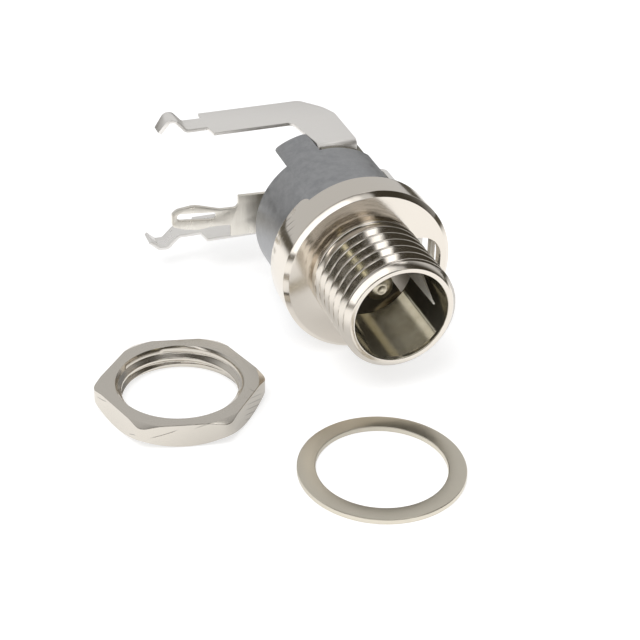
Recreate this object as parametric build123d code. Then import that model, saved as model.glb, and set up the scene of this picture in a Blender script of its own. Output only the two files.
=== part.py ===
from build123d import *
import math
import os

# Panel-mount dc power socket, lying on its flange with its hex nut and flat washer beside it.
# The socket's axis is Y and its mouth faces -Y. The origin is on the axis, in the flange's
# front plane. The legs point to -X, and the surface that everything lies on is below.

# Threaded barrel and bore
thread_d = 8.0
thread_pitch = 0.75
thread_depth = 0.35
thread_crest = 0.14
thread_root = 0.1
thread_runout = 0.3
barrel_len = 6.0
lead_chamfer = 0.4
bore_d = 6.5
mouth_chamfer = 0.12

# Flange and collar
flange_d = 12.1
flange_len = 2.45
flange_edge_r = 0.3
flange_rear_r = 0.12
flange_skin = 0.8

# Rear shell, a step smaller than the collar, with a flat along its +X side
collar_step = 0.7
shell_wall = 0.45
shell_rear_y = 8.5
cavity_front_y = 3.2
flat_depth = 2.3

# Gate pad left on the collar by the casting
gate_len = 0.68
gate_sink = 0.04
gate_from_deg = 126.0
gate_to_deg = 210.0
gate_corner_r = 0.6

# Retaining ear on the shell's rear edge
ear_from_deg = 97.0
ear_to_deg = 125.0
ear_len = 2.8
ear_corner_r = 0.35

# Side slot for the sleeve contact
slot_w = 4.14
slot_rim = 0.6
slot_inner_x = 1.5
slot_corner_r = 1.2

# Moulded insulator
fit_gap = 0.05
insulator_flange_step = 0.15
insulator_flange_left_x = -0.9
insulator_boss_step = 1.75
insulator_rear_y = 10.6
recess_depth = 0.4

# Centre pin
pin_d = 2.0
pin_tip_y = -2.5
pin_dome = 0.62
pin_collar_d = 2.6
pin_collar_len = 0.5
rivet_d = 2.7
rivet_len = 0.4

# Sheet metal of the contacts
leg_t = 0.25
terminal_t = 0.3
spring_t = 0.35
bend_r = 0.2

# Sleeve contact: side strip, lanced tongue, rear plate
strip_side_gap = 0.07
strip_rim_gap = 0.15
strip_front_y = 1.0
lance_front_y = 1.5
lance_rear_y = 3.7
lance_w = 2.1
tongue_w = 1.4
tongue_shift = 0.2
tongue_wall_gap = 0.12
tongue_lift = 0.3
tongue_tip_y = -5.3
tongue_tip_w = 0.7
side_plate_x = 2.05
lower_plate_left_x = -0.55
lower_plate_right_x = 3.6
plate_step_z = -1.95

# Switch contact, the upper leg
upper_tab_y = 9.15
upper_tab_left_x = -0.5
upper_tab_right_x = 2.45
upper_tab_len = 2.85
upper_tab_lap = 1.0

# Legs: the arm runs to -X and ends in a narrow kinked snap-in end
upper_arm_front_y = 13.2
lower_arm_front_y = 13.05
arm_rear_y = 16.6
neck_front_y = 14.2
neck_rear_y = 15.8
arm_corner_x = 0.6
arm_corner_y = 13.8
upper_shoulder_x = -7.15
upper_kink_x = -8.65
upper_tip_front_y = 14.95
lower_leg_z = -3.15
lower_shoulder_x = -7.8
lower_kink_x = -9.5
lower_tip_front_y = 14.3
kink_r = 0.3
leg_lap = 0.3
leg_trim = 0.3
arm_root_inset = 0.55
arm_neck_inset = 0.2
arm_bend_inset = 0.5
arm_bend_run = 1.25
arm_root_r = 0.45
arm_rear_r = 0.7
arm_bend_r = 2.5
arm_front_r = 0.8
upper_kink_run = 0.75
upper_kink_rise = 0.84
upper_crest_run = 1.33
upper_crest_rise = 0.8
upper_tip_run = 2.0
upper_tip_drop = 0.26
lower_kink_run = 0.85
lower_kink_drop = 0.84
lower_crest_run = 1.4
lower_tip_run = 2.02
lower_tip_drop = 0.25

# Pin terminal with its eye
eye_plate_left_x = -5.95
eye_root_x = -6.5
eye_plate_right_x = 1.7
eye_plate_top_z = 1.39
eye_plate_bottom_z = -1.8
eye_tip_x = -10.87
eye_slot_w = 0.56
eye_slot_from_x = -7.6
eye_slot_to_x = -10.52
eye_slot_z = 0.2
eye_slot_tilt_deg = 6.0

# Hex nut, lying flat
nut_wall = 1.0
nut_h = 1.75
nut_thread_depth = 0.15
nut_bore_chamfer = 0.4
nut_corner_over = 1.26
nut_top_edge_over = 0.4
nut_top_chamfer_deg = 25.0
nut_foot_edge_under = 0.2
nut_foot_chamfer_deg = 40.0
nut_x = -14.13
nut_y = -2.6
nut_turn_deg = 48.0

# Flat washer, lying flat
washer_hole_gap = 0.34
washer_wall = 1.18
washer_t = 0.37
washer_edge = 0.05
washer_x = -4.14
washer_y = -13.6

# Worked out from the sizes above
thread_r = thread_d / 2
bore_r = bore_d / 2
flange_r = flange_d / 2
shell_r = flange_r - collar_step
cavity_r = shell_r - shell_wall
flat_x = shell_r - flat_depth
plug_r = cavity_r - fit_gap
insulator_flange_r = shell_r - insulator_flange_step
insulator_boss_r = shell_r - insulator_boss_step
insulator_flat_x = flat_x - fit_gap
table_z = -flange_r
slot_half = slot_w / 2
slot_outer_x = flange_r - slot_rim
strip_w = slot_w - 2 * strip_side_gap
strip_outer_x = slot_outer_x - strip_rim_gap
strip_inner_x = strip_outer_x - spring_t
recess_y = insulator_rear_y - recess_depth
upper_leg_z = shell_r
upper_tab_bottom_z = upper_leg_z - upper_tab_len
nut_af = thread_d + 2 * nut_wall
nut_corner_r = (nut_af + nut_corner_over) / 2
nut_top_edge_r = (nut_af + nut_top_edge_over) / 2
nut_foot_edge_r = (nut_af - nut_foot_edge_under) / 2
nut_bore_d = thread_d - 2 * nut_thread_depth
washer_id = thread_d + washer_hole_gap
washer_od = washer_id + 2 * washer_wall


def revolved(points):
    """A solid turned about the Y axis from points of (radius, y)."""
    outline = Polyline(*[(r, y) for r, y in points], close=True)
    return revolve(make_face(outline), Axis.Y)


def block(x0, x1, y0, y1, z0, z1):
    """A box between two corners."""
    size = (x1 - x0, y1 - y0, z1 - z0)
    return Pos((x0 + x1) / 2, (y0 + y1) / 2, (z0 + z1) / 2) * Box(*size)


def sector(r_in, r_out, y0, y1, deg0, deg1):
    """Part of a ring about the Y axis, between two angles from +X towards +Z."""
    ring = revolved([(r_in, y0), (r_out, y0), (r_out, y1), (r_in, y1)])
    reach = 3 * r_out
    wedge_points = [(0, 0)]
    steps = 6
    for i in range(steps + 1):
        a = math.radians(deg0 + (deg1 - deg0) * i / steps)
        wedge_points.append((reach * math.cos(a), reach * math.sin(a)))
    wedge = sheet_on_y(wedge_points, y0 - 1, y1 + 1)
    return ring & wedge


def sheet_on_y(points, y0, y1, radii=None):
    """A flat plate whose outline is given in X and Z, between two Y planes."""
    plane = Plane(origin=(0, y0, 0), x_dir=(1, 0, 0), z_dir=(0, -1, 0))
    face = make_face(rounded_outline(points, radii))
    return extrude(plane * face, -(y1 - y0))


def sheet_on_z(points, z_top, t, radii=None):
    """A flat plate whose outline is given in X and Y, hanging below z_top."""
    face = make_face(rounded_outline(points, radii))
    return extrude(Pos(0, 0, z_top - t) * face, t)


def rounded_outline(points, radii):
    """A closed outline through points, with the corners named in radii rounded."""
    if not radii:
        return Polyline(*points, close=True)
    corner_r = [radii.get(i, 0) for i in range(len(points))]
    edges = []
    n = len(points)
    starts, ends = [], []
    for i in range(n):
        p = Vector(*points[i])
        to_prev = (Vector(*points[i - 1]) - p).normalized()
        to_next = (Vector(*points[(i + 1) % n]) - p).normalized()
        turn = math.radians(to_prev.get_angle(to_next))
        back = corner_r[i] / math.tan(turn / 2) if corner_r[i] else 0
        starts.append(p + to_prev * back)
        ends.append(p + to_next * back)
        if back:
            bisector = (to_prev + to_next).normalized()
            reach = corner_r[i] / math.sin(turn / 2) - corner_r[i]
            edges.append(ThreePointArc(starts[i], p + bisector * reach, ends[i]))
    for i in range(n):
        edges.append(Line(ends[i], starts[(i + 1) % n]))
    return Wire(edges)


def bent_profile(points, t, radius):
    """The side face of a bent strip from one skin's points; the sheet is t to their left."""
    n = len(points)
    skin = [Vector(*p) for p in points]
    normals = []
    for i in range(n - 1):
        d = (skin[i + 1] - skin[i]).normalized()
        normals.append(Vector(-d.Y, d.X))
    other, near_r, far_r = [], [], []
    for i in range(n):
        if i in (0, n - 1):
            normal = normals[0] if i == 0 else normals[-1]
            other.append(skin[i] + normal * t)
            continue
        a, b = normals[i - 1], normals[i]
        other.append(skin[i] + (a + b) * (t / (1 + a.dot(b))))
        near_is_inside = (a.cross(b).Z > 0) == (t < 0)
        near_r.append(radius if near_is_inside else radius + abs(t))
        far_r.append(radius + abs(t) if near_is_inside else radius)
    near = FilletPolyline(*skin, radius=near_r)
    far = FilletPolyline(*other, radius=far_r)
    ends = [Line(skin[0], other[0]), Line(skin[-1], other[-1])]
    return make_face(near.edges() + far.edges() + ends)


def thread_grooves():
    """Points of the barrel's V grooves from the mouth to the flange, a ring for each turn."""
    flank = (thread_pitch - thread_crest - thread_root) / 2
    turns = int((barrel_len - lead_chamfer - thread_runout) / thread_pitch)
    points = []
    for turn in reversed(range(turns)):
        mid_y = -thread_runout - thread_pitch * (turn + 0.5)
        for y_from_mid, depth in (
            (-thread_root / 2 - flank, 0), (-thread_root / 2, thread_depth),
            (thread_root / 2, thread_depth), (thread_root / 2 + flank, 0),
        ):
            points.append((thread_r - depth, mid_y + y_from_mid))
    return points


def make_socket_body():
    body = revolved([
        (bore_r + mouth_chamfer, -barrel_len),
        (thread_r - lead_chamfer, -barrel_len),
        (thread_r, -barrel_len + lead_chamfer),
        *thread_grooves(),
        (thread_r, 0),
        (flange_r, 0),
        (flange_r, flange_len),
        (shell_r, flange_len),
        (shell_r, shell_rear_y),
        (cavity_r, shell_rear_y),
        (cavity_r, cavity_front_y),
        (bore_r, cavity_front_y),
        (bore_r, -barrel_len + mouth_chamfer),
    ])
    for rim_y, rim_r in ((0, flange_edge_r), (flange_len, flange_rear_r)):
        rims = body.edges().filter_by(GeomType.CIRCLE)
        rim = [e for e in rims if abs(e.radius - flange_r) < 0.01 and abs(e.center().Y - rim_y) < 0.01]
        body = fillet(rim, rim_r)

    gate_r = flange_r - gate_sink
    gate = sector(
        shell_r - shell_wall / 2, gate_r, flange_len - flange_rear_r,
        flange_len + gate_len, gate_from_deg, gate_to_deg,
    )
    gate_ends = gate.edges().filter_by(GeomType.LINE).sort_by(Axis.Y)[-2:]
    gate = fillet(gate_ends, gate_corner_r)
    body += gate

    ear = sector(cavity_r, shell_r, shell_rear_y - 0.2, shell_rear_y + ear_len, ear_from_deg, ear_to_deg)
    ear_ends = ear.edges().filter_by(GeomType.LINE).sort_by(Axis.Y)[-2:]
    ear = fillet(ear_ends, ear_corner_r)
    body += ear

    reach = flange_d
    body -= block(flat_x, reach, flange_len, shell_rear_y + 1, -reach, reach)
    window = extrude(
        Plane(origin=(0, 0, 0), x_dir=(1, 0, 0), z_dir=(0, -1, 0)) * make_face(rounded_outline(
            [(slot_inner_x, -slot_half), (slot_outer_x, -slot_half),
             (slot_outer_x, slot_half), (slot_inner_x, slot_half)],
            {1: slot_corner_r, 2: slot_corner_r},
        )),
        -flange_skin - 0.01,
    )
    body -= window
    body -= block(slot_inner_x, reach, flange_skin, cavity_front_y, -slot_half, slot_half)
    return body


def make_insulator():
    reach = flange_d
    past_rear = insulator_rear_y + 1
    plug = revolved([
        (0, cavity_front_y), (plug_r, cavity_front_y), (plug_r, shell_rear_y), (0, shell_rear_y),
    ])
    plug += revolved([
        (0, shell_rear_y - 0.5), (insulator_boss_r, shell_rear_y - 0.5),
        (insulator_boss_r, insulator_rear_y), (0, insulator_rear_y),
    ])
    rear_flange = revolved([
        (0, shell_rear_y), (insulator_flange_r, shell_rear_y),
        (insulator_flange_r, insulator_rear_y), (0, insulator_rear_y),
    ])
    plug += rear_flange & block(insulator_flange_left_x, reach, 0, past_rear, -reach, reach)
    plug -= block(insulator_flat_x, reach, cavity_front_y - 1, past_rear, -reach, reach)
    ear_room = 3.0
    plug -= sector(
        plug_r, insulator_flange_r + 1, shell_rear_y, past_rear,
        ear_from_deg - ear_room, ear_to_deg + ear_room,
    )
    plug -= block(
        upper_tab_left_x - fit_gap, upper_tab_right_x + fit_gap,
        upper_tab_y - fit_gap, upper_tab_y + leg_t + fit_gap,
        upper_tab_bottom_z - fit_gap, reach,
    )
    plug -= block(
        upper_tab_left_x - 1.0, reach, upper_tab_y - fit_gap, past_rear,
        upper_leg_z - leg_t - fit_gap, reach,
    )
    plug -= block(
        side_plate_x - fit_gap, reach, recess_y, past_rear, -reach, strip_w / 2 + fit_gap,
    )
    plug -= block(
        lower_plate_left_x - fit_gap, reach, recess_y, past_rear, -reach, plate_step_z + fit_gap,
    )
    pin_hole = Pos(0, (cavity_front_y + insulator_rear_y) / 2, 0) * (
        Rot(90, 0, 0) * Cylinder(pin_d / 2, insulator_rear_y - cavity_front_y + 2)
    )
    plug -= pin_hole
    plug -= revolved([
        (0, cavity_front_y - 1), (pin_collar_d / 2, cavity_front_y - 1),
        (pin_collar_d / 2, cavity_front_y + pin_collar_len), (0, cavity_front_y + pin_collar_len),
    ])
    return plug


def make_centre_pin():
    r = pin_d / 2
    rear = insulator_rear_y + terminal_t
    dome_end = (r, pin_tip_y + pin_dome)
    dome = Spline((0, pin_tip_y), dome_end, tangents=((1, 0), (0, 1)))
    side = Polyline(
        dome_end,
        (r, cavity_front_y),
        (pin_collar_d / 2, cavity_front_y),
        (pin_collar_d / 2, cavity_front_y + pin_collar_len),
        (r, cavity_front_y + pin_collar_len),
        (r, rear),
        (rivet_d / 2, rear),
        (rivet_d / 2 - 0.12, rear + rivet_len * 0.6),
        (rivet_d / 2 - 0.45, rear + rivet_len),
        (0, rear + rivet_len),
        (0, pin_tip_y),
    )
    return revolve(make_face(dome.edges() + side.edges()), Axis.Y)


def make_pin_terminal():
    front, rear = insulator_rear_y, insulator_rear_y + terminal_t
    outline = [
        (eye_plate_right_x, eye_plate_bottom_z - 0.1),
        (eye_plate_right_x, eye_plate_top_z - 0.3),
        (eye_plate_left_x, eye_plate_top_z),
        (eye_plate_left_x, 0.45),
        (eye_root_x - 0.8, 0.5),
        (-9.2, 1.1),
        (-10.5, 0.95),
        (eye_tip_x, 0.65),
        (eye_tip_x, -0.35),
        (-10.0, -0.7),
        (-8.9, -0.9),
        (-8.0, -0.78),
        (eye_root_x, -0.86),
        (eye_root_x, eye_plate_bottom_z),
    ]
    corners = {3: 0.35, 4: 1.5, 5: 1.5, 6: 0.5, 7: 0.25, 8: 0.3, 9: 1.5, 10: 1.5, 11: 1.5}
    terminal = sheet_on_y(outline, front, rear, corners)
    slot_mid_x = (eye_slot_from_x + eye_slot_to_x) / 2
    slot_len = eye_slot_from_x - eye_slot_to_x
    slot = extrude(SlotOverall(slot_len, eye_slot_w), 2, both=True)
    slot = Rot(90, 0, 0) * (Rot(0, 0, -eye_slot_tilt_deg) * slot)
    terminal -= Pos(slot_mid_x, front, eye_slot_z) * slot
    terminal -= Pos(0, front, 0) * (Rot(90, 0, 0) * Cylinder(pin_d / 2, 4))
    return terminal


def leg_end(shoulder_x, skin_z, kink, tip_front_y):
    """The narrow end of a leg: kink gives its upper skin's points from the shoulder on."""
    path = [(shoulder_x + leg_lap, skin_z)] + [(x, skin_z + z) for x, z in kink]
    face = bent_profile(path, leg_t, kink_r)
    plane = Plane(origin=(0, neck_front_y, 0), x_dir=(1, 0, 0), z_dir=(0, -1, 0))
    end = extrude(plane * face, -(neck_rear_y - neck_front_y))
    taper_x, tip_x = kink[1][0], kink[-1][0] - leg_trim
    corner = make_face(Polyline(
        (taper_x, neck_front_y - 1), (taper_x, neck_front_y), (tip_x, tip_front_y),
        (tip_x, neck_front_y - 1), close=True,
    ))
    return end - extrude(Pos(0, 0, skin_z) * corner, 3, both=True)


def leg_arm(root_left, root_right, root_y, shoulder_x, front_y, z_top):
    """The flat arm of a leg: it leaves the socket to the rear and turns to -X."""
    outline = [
        (root_left, root_y),
        (root_left - arm_root_inset, front_y),
        (shoulder_x + arm_neck_inset, front_y),
        (shoulder_x, neck_front_y),
        (shoulder_x, arm_rear_y),
        (arm_corner_x, arm_rear_y),
        (root_right - arm_bend_inset, arm_corner_y + arm_bend_run),
        (root_right, arm_corner_y),
        (root_right, root_y),
    ]
    corners = {1: arm_root_r, 5: arm_rear_r, 6: arm_bend_r, 7: arm_front_r}
    return sheet_on_z(outline, z_top, leg_t, corners)


def make_switch_contact():
    tab_face = bent_profile(
        [
            (upper_tab_y, upper_tab_bottom_z),
            (upper_tab_y, upper_leg_z),
            (upper_tab_y + upper_tab_lap, upper_leg_z),
        ],
        -leg_t, bend_r,
    )
    plane = Plane(origin=(upper_tab_left_x, 0, 0), x_dir=(0, 1, 0), z_dir=(1, 0, 0))
    tab = extrude(plane * tab_face, upper_tab_right_x - upper_tab_left_x)
    arm = leg_arm(
        upper_tab_left_x, upper_tab_right_x, upper_tab_y + bend_r + leg_t,
        upper_shoulder_x, upper_arm_front_y, upper_leg_z,
    )
    kink = [
        (upper_kink_x, 0),
        (upper_kink_x - upper_kink_run, upper_kink_rise),
        (upper_kink_x - upper_crest_run, upper_crest_rise),
        (upper_kink_x - upper_tip_run, -upper_tip_drop),
    ]
    return tab + arm + leg_end(upper_shoulder_x, upper_leg_z, kink, upper_tip_front_y)


def make_sleeve_contact():
    strip_half = strip_w / 2
    plane_z = Plane(origin=(0, 0, -strip_half), x_dir=(1, 0, 0), z_dir=(0, 0, 1))
    side_face = bent_profile(
        [
            (strip_inner_x, strip_front_y),
            (strip_inner_x, recess_y),
            (side_plate_x, recess_y),
        ],
        -spring_t, bend_r,
    )
    side = extrude(plane_z * side_face, strip_w)
    side -= block(0, flange_d, lance_front_y, lance_rear_y, -lance_w / 2, lance_w / 2)

    tongue_rest_x = bore_r - tongue_wall_gap
    tongue_face = bent_profile(
        [
            (strip_inner_x, lance_rear_y + 0.02),
            (strip_inner_x, lance_rear_y - 0.5),
            (tongue_rest_x - spring_t, 0.4),
            (tongue_rest_x - spring_t - tongue_lift, tongue_tip_y),
        ],
        spring_t, bend_r,
    )
    tongue_low = tongue_shift - tongue_w / 2
    tongue_plane = Plane(origin=(0, 0, tongue_low), x_dir=(1, 0, 0), z_dir=(0, 0, 1))
    tongue = extrude(tongue_plane * tongue_face, tongue_w)
    taper = (tongue_w - tongue_tip_w)
    tongue -= sheet_on_x_wedge(tongue_low + tongue_w, taper)
    root = block(
        strip_inner_x, strip_outer_x, lance_rear_y - 0.01, lance_rear_y + 0.05,
        tongue_low, tongue_low + tongue_w,
    )

    plate = sheet_on_y(
        [
            (side_plate_x, strip_half), (side_plate_x, plate_step_z),
            (lower_plate_left_x, plate_step_z), (lower_plate_left_x, lower_leg_z - leg_t),
            (lower_plate_right_x, lower_leg_z - leg_t), (lower_plate_right_x, -strip_half),
            (strip_inner_x - bend_r - 0.2, -strip_half), (strip_inner_x - bend_r - 0.2, strip_half),
        ],
        recess_y, recess_y + spring_t,
    )
    arm = leg_arm(
        lower_plate_left_x, upper_tab_right_x, recess_y,
        lower_shoulder_x, lower_arm_front_y, lower_leg_z,
    )
    kink = [
        (lower_kink_x, 0),
        (lower_kink_x - lower_kink_run, -lower_kink_drop),
        (lower_kink_x - lower_crest_run, -lower_kink_drop),
        (lower_kink_x - lower_tip_run, -lower_tip_drop),
    ]
    end = leg_end(lower_shoulder_x, lower_leg_z, kink, lower_tip_front_y)
    return side + root + tongue + plate + arm + end


def sheet_on_x_wedge(z_edge, taper):
    """The corner cut off the tongue's upper edge towards its tip."""
    plane = Plane(origin=(0, 0, 0), x_dir=(0, 1, 0), z_dir=(1, 0, 0))
    corner = Polyline(
        (tongue_tip_y - 0.5, z_edge - taper), (tongue_tip_y + 0.4, z_edge - taper),
        (tongue_tip_y + 3.0, z_edge), (tongue_tip_y + 3.0, z_edge + 1),
        (tongue_tip_y - 0.5, z_edge + 1), close=True,
    )
    return extrude(plane * make_face(corner), flange_r)


def make_hex_nut():
    blank = extrude(RegularPolygon(nut_af / 2, 6, major_radius=False), nut_h)
    # Turning takes the six corners back to a circle, with a cone above and a steeper one below.
    foot_rise = (nut_corner_r - nut_foot_edge_r) * math.tan(math.radians(nut_foot_chamfer_deg))
    top_drop = (nut_corner_r - nut_top_edge_r) * math.tan(math.radians(nut_top_chamfer_deg))
    cone = Polyline(
        (0, 0), (nut_foot_edge_r, 0), (nut_corner_r, foot_rise), (nut_corner_r, nut_h - top_drop),
        (nut_top_edge_r, nut_h), (0, nut_h), close=True,
    )
    nut = blank & revolve(Plane.XZ * make_face(cone), Axis.Z)
    hole_r = nut_bore_d / 2
    hole = Polyline(
        (0, -0.01), (hole_r + nut_bore_chamfer, -0.01), (hole_r, nut_bore_chamfer),
        (hole_r, nut_h - nut_bore_chamfer), (hole_r + nut_bore_chamfer, nut_h + 0.01),
        (0, nut_h + 0.01), close=True,
    )
    nut -= revolve(Plane.XZ * make_face(hole), Axis.Z)
    return Pos(nut_x, nut_y, table_z) * (Rot(0, 0, nut_turn_deg) * nut)


def make_washer():
    ring = extrude(Circle(washer_od / 2) - Circle(washer_id / 2), washer_t)
    ring = chamfer(ring.edges(), washer_edge)
    return Pos(washer_x, washer_y, table_z) * ring


parts = {
    "socket_body": make_socket_body(),
    "insulator": make_insulator(),
    "centre_pin": make_centre_pin(),
    "pin_terminal": make_pin_terminal(),
    "switch_contact": make_switch_contact(),
    "sleeve_contact": make_sleeve_contact(),
    "hex_nut": make_hex_nut(),
    "flat_washer": make_washer(),
}

os.makedirs("parts", exist_ok=True)
for name, solid in parts.items():
    export_step(solid, f"parts/{name}.step")
    box = solid.bounding_box()
    print(name, len(solid.solids()), round(solid.volume, 3), box.min, box.max)
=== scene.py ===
import math

import bmesh
import bpy
from mathutils import Matrix, Vector


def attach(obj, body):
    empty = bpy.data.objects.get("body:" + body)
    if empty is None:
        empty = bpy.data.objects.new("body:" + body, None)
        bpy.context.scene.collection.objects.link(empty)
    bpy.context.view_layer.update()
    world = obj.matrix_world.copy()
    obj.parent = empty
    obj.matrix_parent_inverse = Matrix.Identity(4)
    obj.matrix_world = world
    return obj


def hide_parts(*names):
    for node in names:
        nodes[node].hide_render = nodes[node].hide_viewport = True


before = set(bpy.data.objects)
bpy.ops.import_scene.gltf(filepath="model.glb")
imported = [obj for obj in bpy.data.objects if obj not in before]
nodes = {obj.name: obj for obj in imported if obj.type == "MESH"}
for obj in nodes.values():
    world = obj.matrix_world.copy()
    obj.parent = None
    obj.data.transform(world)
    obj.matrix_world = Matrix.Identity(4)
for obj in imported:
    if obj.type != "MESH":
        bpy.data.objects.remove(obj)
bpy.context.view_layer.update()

mm = 0.001
scene = bpy.context.scene


# Making meshes

def roundedLoop(points, radii, steps=4, closed=True):
    # each corner becomes an arc, and a corner without a radius stays a single repeated point
    count = len(points)
    loop = []
    for i, (a, b) in enumerate(points):
        here = Vector((a, b))
        atEnd = not closed and i in (0, count - 1)
        radius = 0 if atEnd else radii[i]
        if radius <= 0:
            loop += [(here.x, here.y)] * (1 if atEnd else steps + 1)
            continue
        before = Vector(points[i - 1]) - here
        after = Vector(points[(i + 1) % count]) - here
        turn = before.angle(after)
        reach = min(radius / math.tan(turn / 2), before.length * 0.48, after.length * 0.48)
        start = here + before.normalized() * reach
        end = here + after.normalized() * reach
        realRadius = reach * math.tan(turn / 2)
        inward = (before.normalized() + after.normalized()).normalized()
        middle = here + inward * (realRadius / math.sin(turn / 2))
        sweep = math.pi - turn
        first = start - middle
        side = 1 if first.cross(end - middle) > 0 else -1
        for k in range(steps + 1):
            angle = side * sweep * k / steps
            loop.append((
                middle.x + first.x * math.cos(angle) - first.y * math.sin(angle),
                middle.y + first.x * math.sin(angle) + first.y * math.cos(angle),
            ))
    return loop


def withRows(loop, lowest, highest, step, keep):
    # extra rows on the long edges that run along the axis, where keep(radius) says so
    out = []
    for i, point in enumerate(loop):
        out.append(point)
        ahead = loop[(i + 1) % len(loop)]
        if keep(point[0]) and keep(ahead[0]):
            low, high = sorted((point[1], ahead[1]))
            length = min(high, highest) - max(low, lowest)
            rows = int(round(length / step))
            for k in range(1, rows):
                t = k / rows
                out.append((point[0] + (ahead[0] - point[0]) * t, point[1] + (ahead[1] - point[1]) * t))
    return out


def newPiece(name, vertices, faces):
    mesh = bpy.data.meshes.new(name)
    mesh.from_pydata(vertices, [], faces)
    piece = bpy.data.objects.new(name, mesh)
    scene.collection.objects.link(piece)
    tidyMesh(mesh)
    return piece


def tidyMesh(mesh, joinWithin=2e-7):
    work = bmesh.new()
    work.from_mesh(mesh)
    bmesh.ops.remove_doubles(work, verts=work.verts, dist=joinWithin)
    bmesh.ops.dissolve_degenerate(work, edges=work.edges, dist=1e-8)
    bmesh.ops.recalc_face_normals(work, faces=work.faces)
    work.to_mesh(mesh)
    work.free()
    for face in mesh.polygons:
        face.use_smooth = True
    mesh.update()


def turned(name, outlineAt, angles, upright=False, centre=(0, 0), closed=True):
    # a turned piece: about the socket's axis, or upright about a vertical one
    vertices = []
    for angle in angles:
        c, s = math.cos(angle), math.sin(angle)
        for r, h in outlineAt(angle):
            if upright:
                vertices.append((centre[0] * mm + r * c * mm, centre[1] * mm + r * s * mm, h * mm))
            else:
                vertices.append((r * c * mm, h * mm, r * s * mm))
    count, around = len(outlineAt(angles[0])), len(angles)
    faces = []
    for j in range(around):
        k = (j + 1) % around
        for i in range(count if closed else count - 1):
            n = (i + 1) % count
            faces.append((j * count + i, j * count + n, k * count + n, k * count + i))
    return newPiece(name, vertices, faces)


def evenAngles(count):
    return [2 * math.pi * i / count for i in range(count)]


def cutAway(piece, low, high):
    # takes a box out of a piece
    corners = [(x, y, z) for x in (low[0], high[0]) for y in (low[1], high[1]) for z in (low[2], high[2])]
    faces = [(0, 1, 3, 2), (4, 6, 7, 5), (0, 4, 5, 1), (2, 3, 7, 6), (0, 2, 6, 4), (1, 5, 7, 3)]
    applyCut(piece, newPiece("cutter", [tuple(v * mm for v in c) for c in corners], faces))


def applyCut(piece, cutter):
    step = piece.modifiers.new("cut", "BOOLEAN")
    step.operation = "DIFFERENCE"
    step.solver = "EXACT"
    step.object = cutter
    keepResult(piece)
    bpy.data.objects.remove(cutter)


def keepResult(piece):
    # the evaluated shape becomes the piece's own plain mesh
    graph = bpy.context.evaluated_depsgraph_get()
    result = bpy.data.meshes.new_from_object(piece.evaluated_get(graph))
    piece.modifiers.clear()
    piece.data = result
    return piece


def softenedCopy(node, name, bevelWidth):
    # a node's own shape, joined up, with its sheared edges broken
    mesh = nodes[node].data.copy()
    mesh.name = name
    work = bmesh.new()
    work.from_mesh(mesh)
    bmesh.ops.remove_doubles(work, verts=work.verts, dist=2e-6)
    bmesh.ops.dissolve_limit(work, angle_limit=math.radians(0.6), verts=work.verts, edges=work.edges)
    bmesh.ops.recalc_face_normals(work, faces=work.faces)
    sharp = [e for e in work.edges if len(e.link_faces) == 2 and e.calc_face_angle(0) > math.radians(50)]
    bmesh.ops.bevel(
        work, geom=sharp, offset=bevelWidth * mm, segments=2, profile=0.5,
        affect="EDGES", clamp_overlap=True, offset_type="OFFSET",
    )
    bmesh.ops.recalc_face_normals(work, faces=work.faces)
    work.to_mesh(mesh)
    work.free()
    mesh.materials.clear()
    for face in mesh.polygons:
        face.use_smooth = True
    mesh.set_sharp_from_angle(angle=math.radians(32))
    piece = bpy.data.objects.new(name, mesh)
    scene.collection.objects.link(piece)
    return piece


# Node helpers

class Bench:
    # adds and joins nodes in one tree
    def __init__(self, tree):
        self.tree = tree
        self.place = 0

    def add(self, kind, **settings):
        node = self.tree.nodes.new(kind)
        self.place += 1
        node.location = (self.place % 8 * 190, -(self.place // 8) * 240)
        for key, value in settings.items():
            setattr(node, key, value)
        return node

    def give(self, socket, value):
        if isinstance(value, bpy.types.NodeSocket):
            self.tree.links.new(value, socket)
        else:
            socket.default_value = value

    def math(self, operation, a, b=None):
        node = self.add("ShaderNodeMath", operation=operation)
        for socket, value in zip(node.inputs, (a, b)):
            if value is not None:
                self.give(socket, value)
        return node.outputs[0]

    def vector(self, operation, a, b=None, scale=None):
        node = self.add("ShaderNodeVectorMath", operation=operation)
        self.give(node.inputs[0], a)
        if b is not None:
            self.give(node.inputs[1], b)
        if scale is not None:
            self.give(node.inputs["Scale"], scale)
        return node.outputs["Value" if operation in ("DOT_PRODUCT", "LENGTH", "DISTANCE") else "Vector"]

    def remap(self, value, fromLow, fromHigh, toLow, toHigh, smooth=False):
        node = self.add("ShaderNodeMapRange")
        if smooth:
            node.interpolation_type = "SMOOTHSTEP"
        for socket, given in zip(node.inputs, (value, fromLow, fromHigh, toLow, toHigh)):
            self.give(socket, given)
        return node.outputs[0]

    def mix(self, factor, a, b):
        node = self.add("ShaderNodeMix", data_type="RGBA")
        self.give(node.inputs["Factor"], factor)
        self.give(node.inputs[6], a)
        self.give(node.inputs[7], b)
        return node.outputs[2]

    def noise(self, coordinates, scale, detail=2.0, rough=0.5):
        node = self.add("ShaderNodeTexNoise")
        self.give(node.inputs["Vector"], coordinates)
        self.give(node.inputs["Scale"], scale)
        self.give(node.inputs["Detail"], detail)
        self.give(node.inputs["Roughness"], rough)
        return node.outputs["Fac"]

    def group(self, tree, **given):
        node = self.add("ShaderNodeGroup", node_tree=tree)
        for key, value in given.items():
            self.give(node.inputs[key], value)
        return node


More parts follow.
